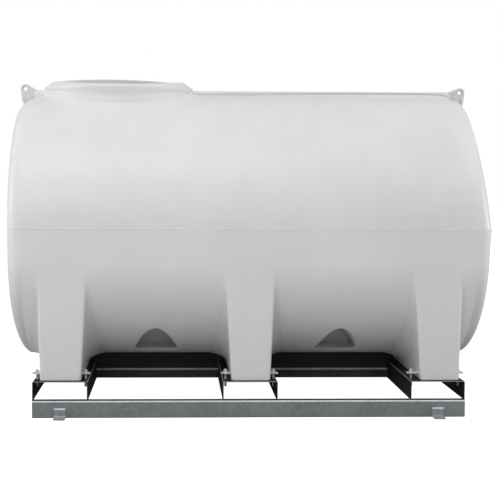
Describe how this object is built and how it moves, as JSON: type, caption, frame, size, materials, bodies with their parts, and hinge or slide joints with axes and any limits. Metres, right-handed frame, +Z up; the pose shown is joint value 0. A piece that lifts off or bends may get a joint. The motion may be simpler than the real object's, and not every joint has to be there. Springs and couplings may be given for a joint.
{
  "type": "fertilizer storage tank",
  "caption": "Horizontal moulded storage tank with dished ends, saddle legs, a raised round manway and lifting lugs, held down on a galvanised steel skid with bolt-down anchors.",
  "frame": {"origin": "on the ground, under the centre of the tank", "axes": "+X along the tank away from the manway, +Y across it to the rear, +Z up"},
  "size_m": [3.2422, 2.214, 2.216],
  "materials": {
    "tank_plastic": "moulded, faintly grainy, slightly glossy",
    "lid_plastic": "moulded, smooth",
    "galvanised_rail": "hot-dip galvanised, spangled",
    "galvanised_cradle": "hot-dip galvanised, weathered",
    "black_board": "dull black",
    "zinc_fasteners": "bright zinc plated"
  },
  "bodies": {
    "root": {"barrel_top": "tank_plastic", "barrel_belly": "tank_plastic", "left_end": "tank_plastic", "right_end": "tank_plastic", "parting_line": "tank_plastic", "left_leg": "tank_plastic", "middle_leg": "tank_plastic", "right_leg": "tank_plastic", "manway_collar": "tank_plastic", "crown_rib": "tank_plastic", "left_lifting_lug": "tank_plastic", "right_lifting_lug": "tank_plastic", "manway_lid": "lid_plastic", "front_rail": "galvanised_rail", "rear_rail": "galvanised_rail", "front_left_anchor": "galvanised_rail", "front_right_anchor": "galvanised_rail", "rear_left_anchor": "galvanised_rail", "rear_right_anchor": "galvanised_rail", "left_cradle": "galvanised_cradle", "middle_cradle": "galvanised_cradle", "right_cradle": "galvanised_cradle", "left_centre_beam": "galvanised_cradle", "right_centre_beam": "galvanised_cradle", "left_bearer": "black_board", "right_bearer": "black_board", "left_leg_bars": "zinc_fasteners", "middle_leg_bars": "zinc_fasteners", "right_leg_bars": "zinc_fasteners", "left_leg_studs": "zinc_fasteners", "middle_leg_studs": "zinc_fasteners", "right_leg_studs": "zinc_fasteners"}
  },
  "joints": []
}
